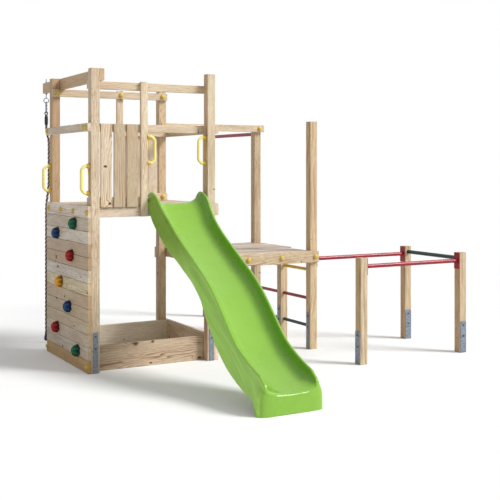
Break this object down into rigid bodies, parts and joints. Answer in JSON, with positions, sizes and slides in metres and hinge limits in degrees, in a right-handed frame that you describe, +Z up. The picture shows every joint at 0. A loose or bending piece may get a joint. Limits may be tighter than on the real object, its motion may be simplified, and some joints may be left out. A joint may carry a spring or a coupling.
{
  "type": "climbing frame with slide",
  "caption": "Wooden play tower with climbing wall, sandpit, moulded wave slide, low deck with rung ladder, turning bars, high bar and a hanging climbing rope.",
  "frame": {"origin": "middle of the overall box, without the rope and its fittings, on the ground", "axes": "+Z up, -Y the way the slide runs out, +X along the front from the climbing wall to the turning bars"},
  "size_m": [3.143, 3.812, 2.356],
  "materials": {
    "pine": "planed and sealed softwood",
    "pine_grey": "planed softwood, greyer boards",
    "lime_plastic": "blow-moulded polyethylene",
    "yellow_plastic": "moulded plastic",
    "yellow_bar": "powder coat",
    "red_bar": "powder coat",
    "green_bar": "powder coat",
    "green_hold": "cast resin",
    "blue_hold": "cast resin",
    "red_hold": "cast resin",
    "yellow_hold": "cast resin",
    "zinc_steel": "zinc plated",
    "black_plastic": "moulded plastic",
    "rope_fibre": "laid fibre rope"
  },
  "bodies": {
    "frame": {"post_front_left": "pine", "post_back_left": "pine", "post_front_right": "pine", "post_back_right": "pine", "post_ladder_front": "pine", "post_ladder_mid": "pine", "post_ladder_back": "pine", "post_bar_far": "pine", "post_turn_near": "pine", "post_turn_back": "pine", "post_turn_front": "pine", "top_rail_front": "pine", "top_rail_back": "pine", "rope_beam": "pine", "handrail_front": "pine", "handrail_left": "pine_grey", "handrail_right": "pine", "handrail_back": "pine", "high_rail": "pine", "jamb_front": "pine", "jamb_back": "pine", "panel_front": "pine", "panel_back": "pine_grey", "batten_front": "pine", "batten_back": "pine", "floor_beam_front": "pine", "floor_beam_back": "pine", "floor_beam_right": "pine", "floor_joists": "pine", "floor_boards": "pine", "wall": "pine_grey", "holds_green": "green_hold", "holds_blue": "blue_hold", "holds_red": "red_hold", "hold_yellow": "yellow_hold", "sandbox_front": "pine", "sandbox_back": "pine", "sandbox_right": "pine", "slide": "lime_plastic", "handles": "yellow_plastic", "deck_beam_front": "pine", "deck_beam_back": "pine", "deck_joists": "pine", "deck_boards": "pine_grey", "rung_yellow": "yellow_bar", "rung_red": "red_bar", "rung_green": "green_bar", "turn_bar_back": "red_bar", "turn_bar_front": "red_bar", "cross_bar": "green_bar", "high_bar": "red_bar", "ground_straps": "zinc_steel", "strap_bolts": "zinc_steel", "bolt_caps": "yellow_plastic", "eye_bolt": "zinc_steel"},
    "hook": {"snap_hook": "zinc_steel"},
    "rope": {"rope_sleeve": "black_plastic", "rope": "rope_fibre", "rope_end": "black_plastic"}
  },
  "joints": [
    {"name": "hook_swing", "type": "hinge", "parent": "frame", "child": "hook", "pos_m": [-1.4075, 1.252, 2.142], "axis": [1, 0, 0], "range_deg": [-10, 50]},
    {"name": "rope_swing", "type": "hinge", "parent": "hook", "child": "rope", "pos_m": [-1.4075, 1.252, 2.053], "axis": [0, 1, 0], "range_deg": [-45, 45]}
  ]
}
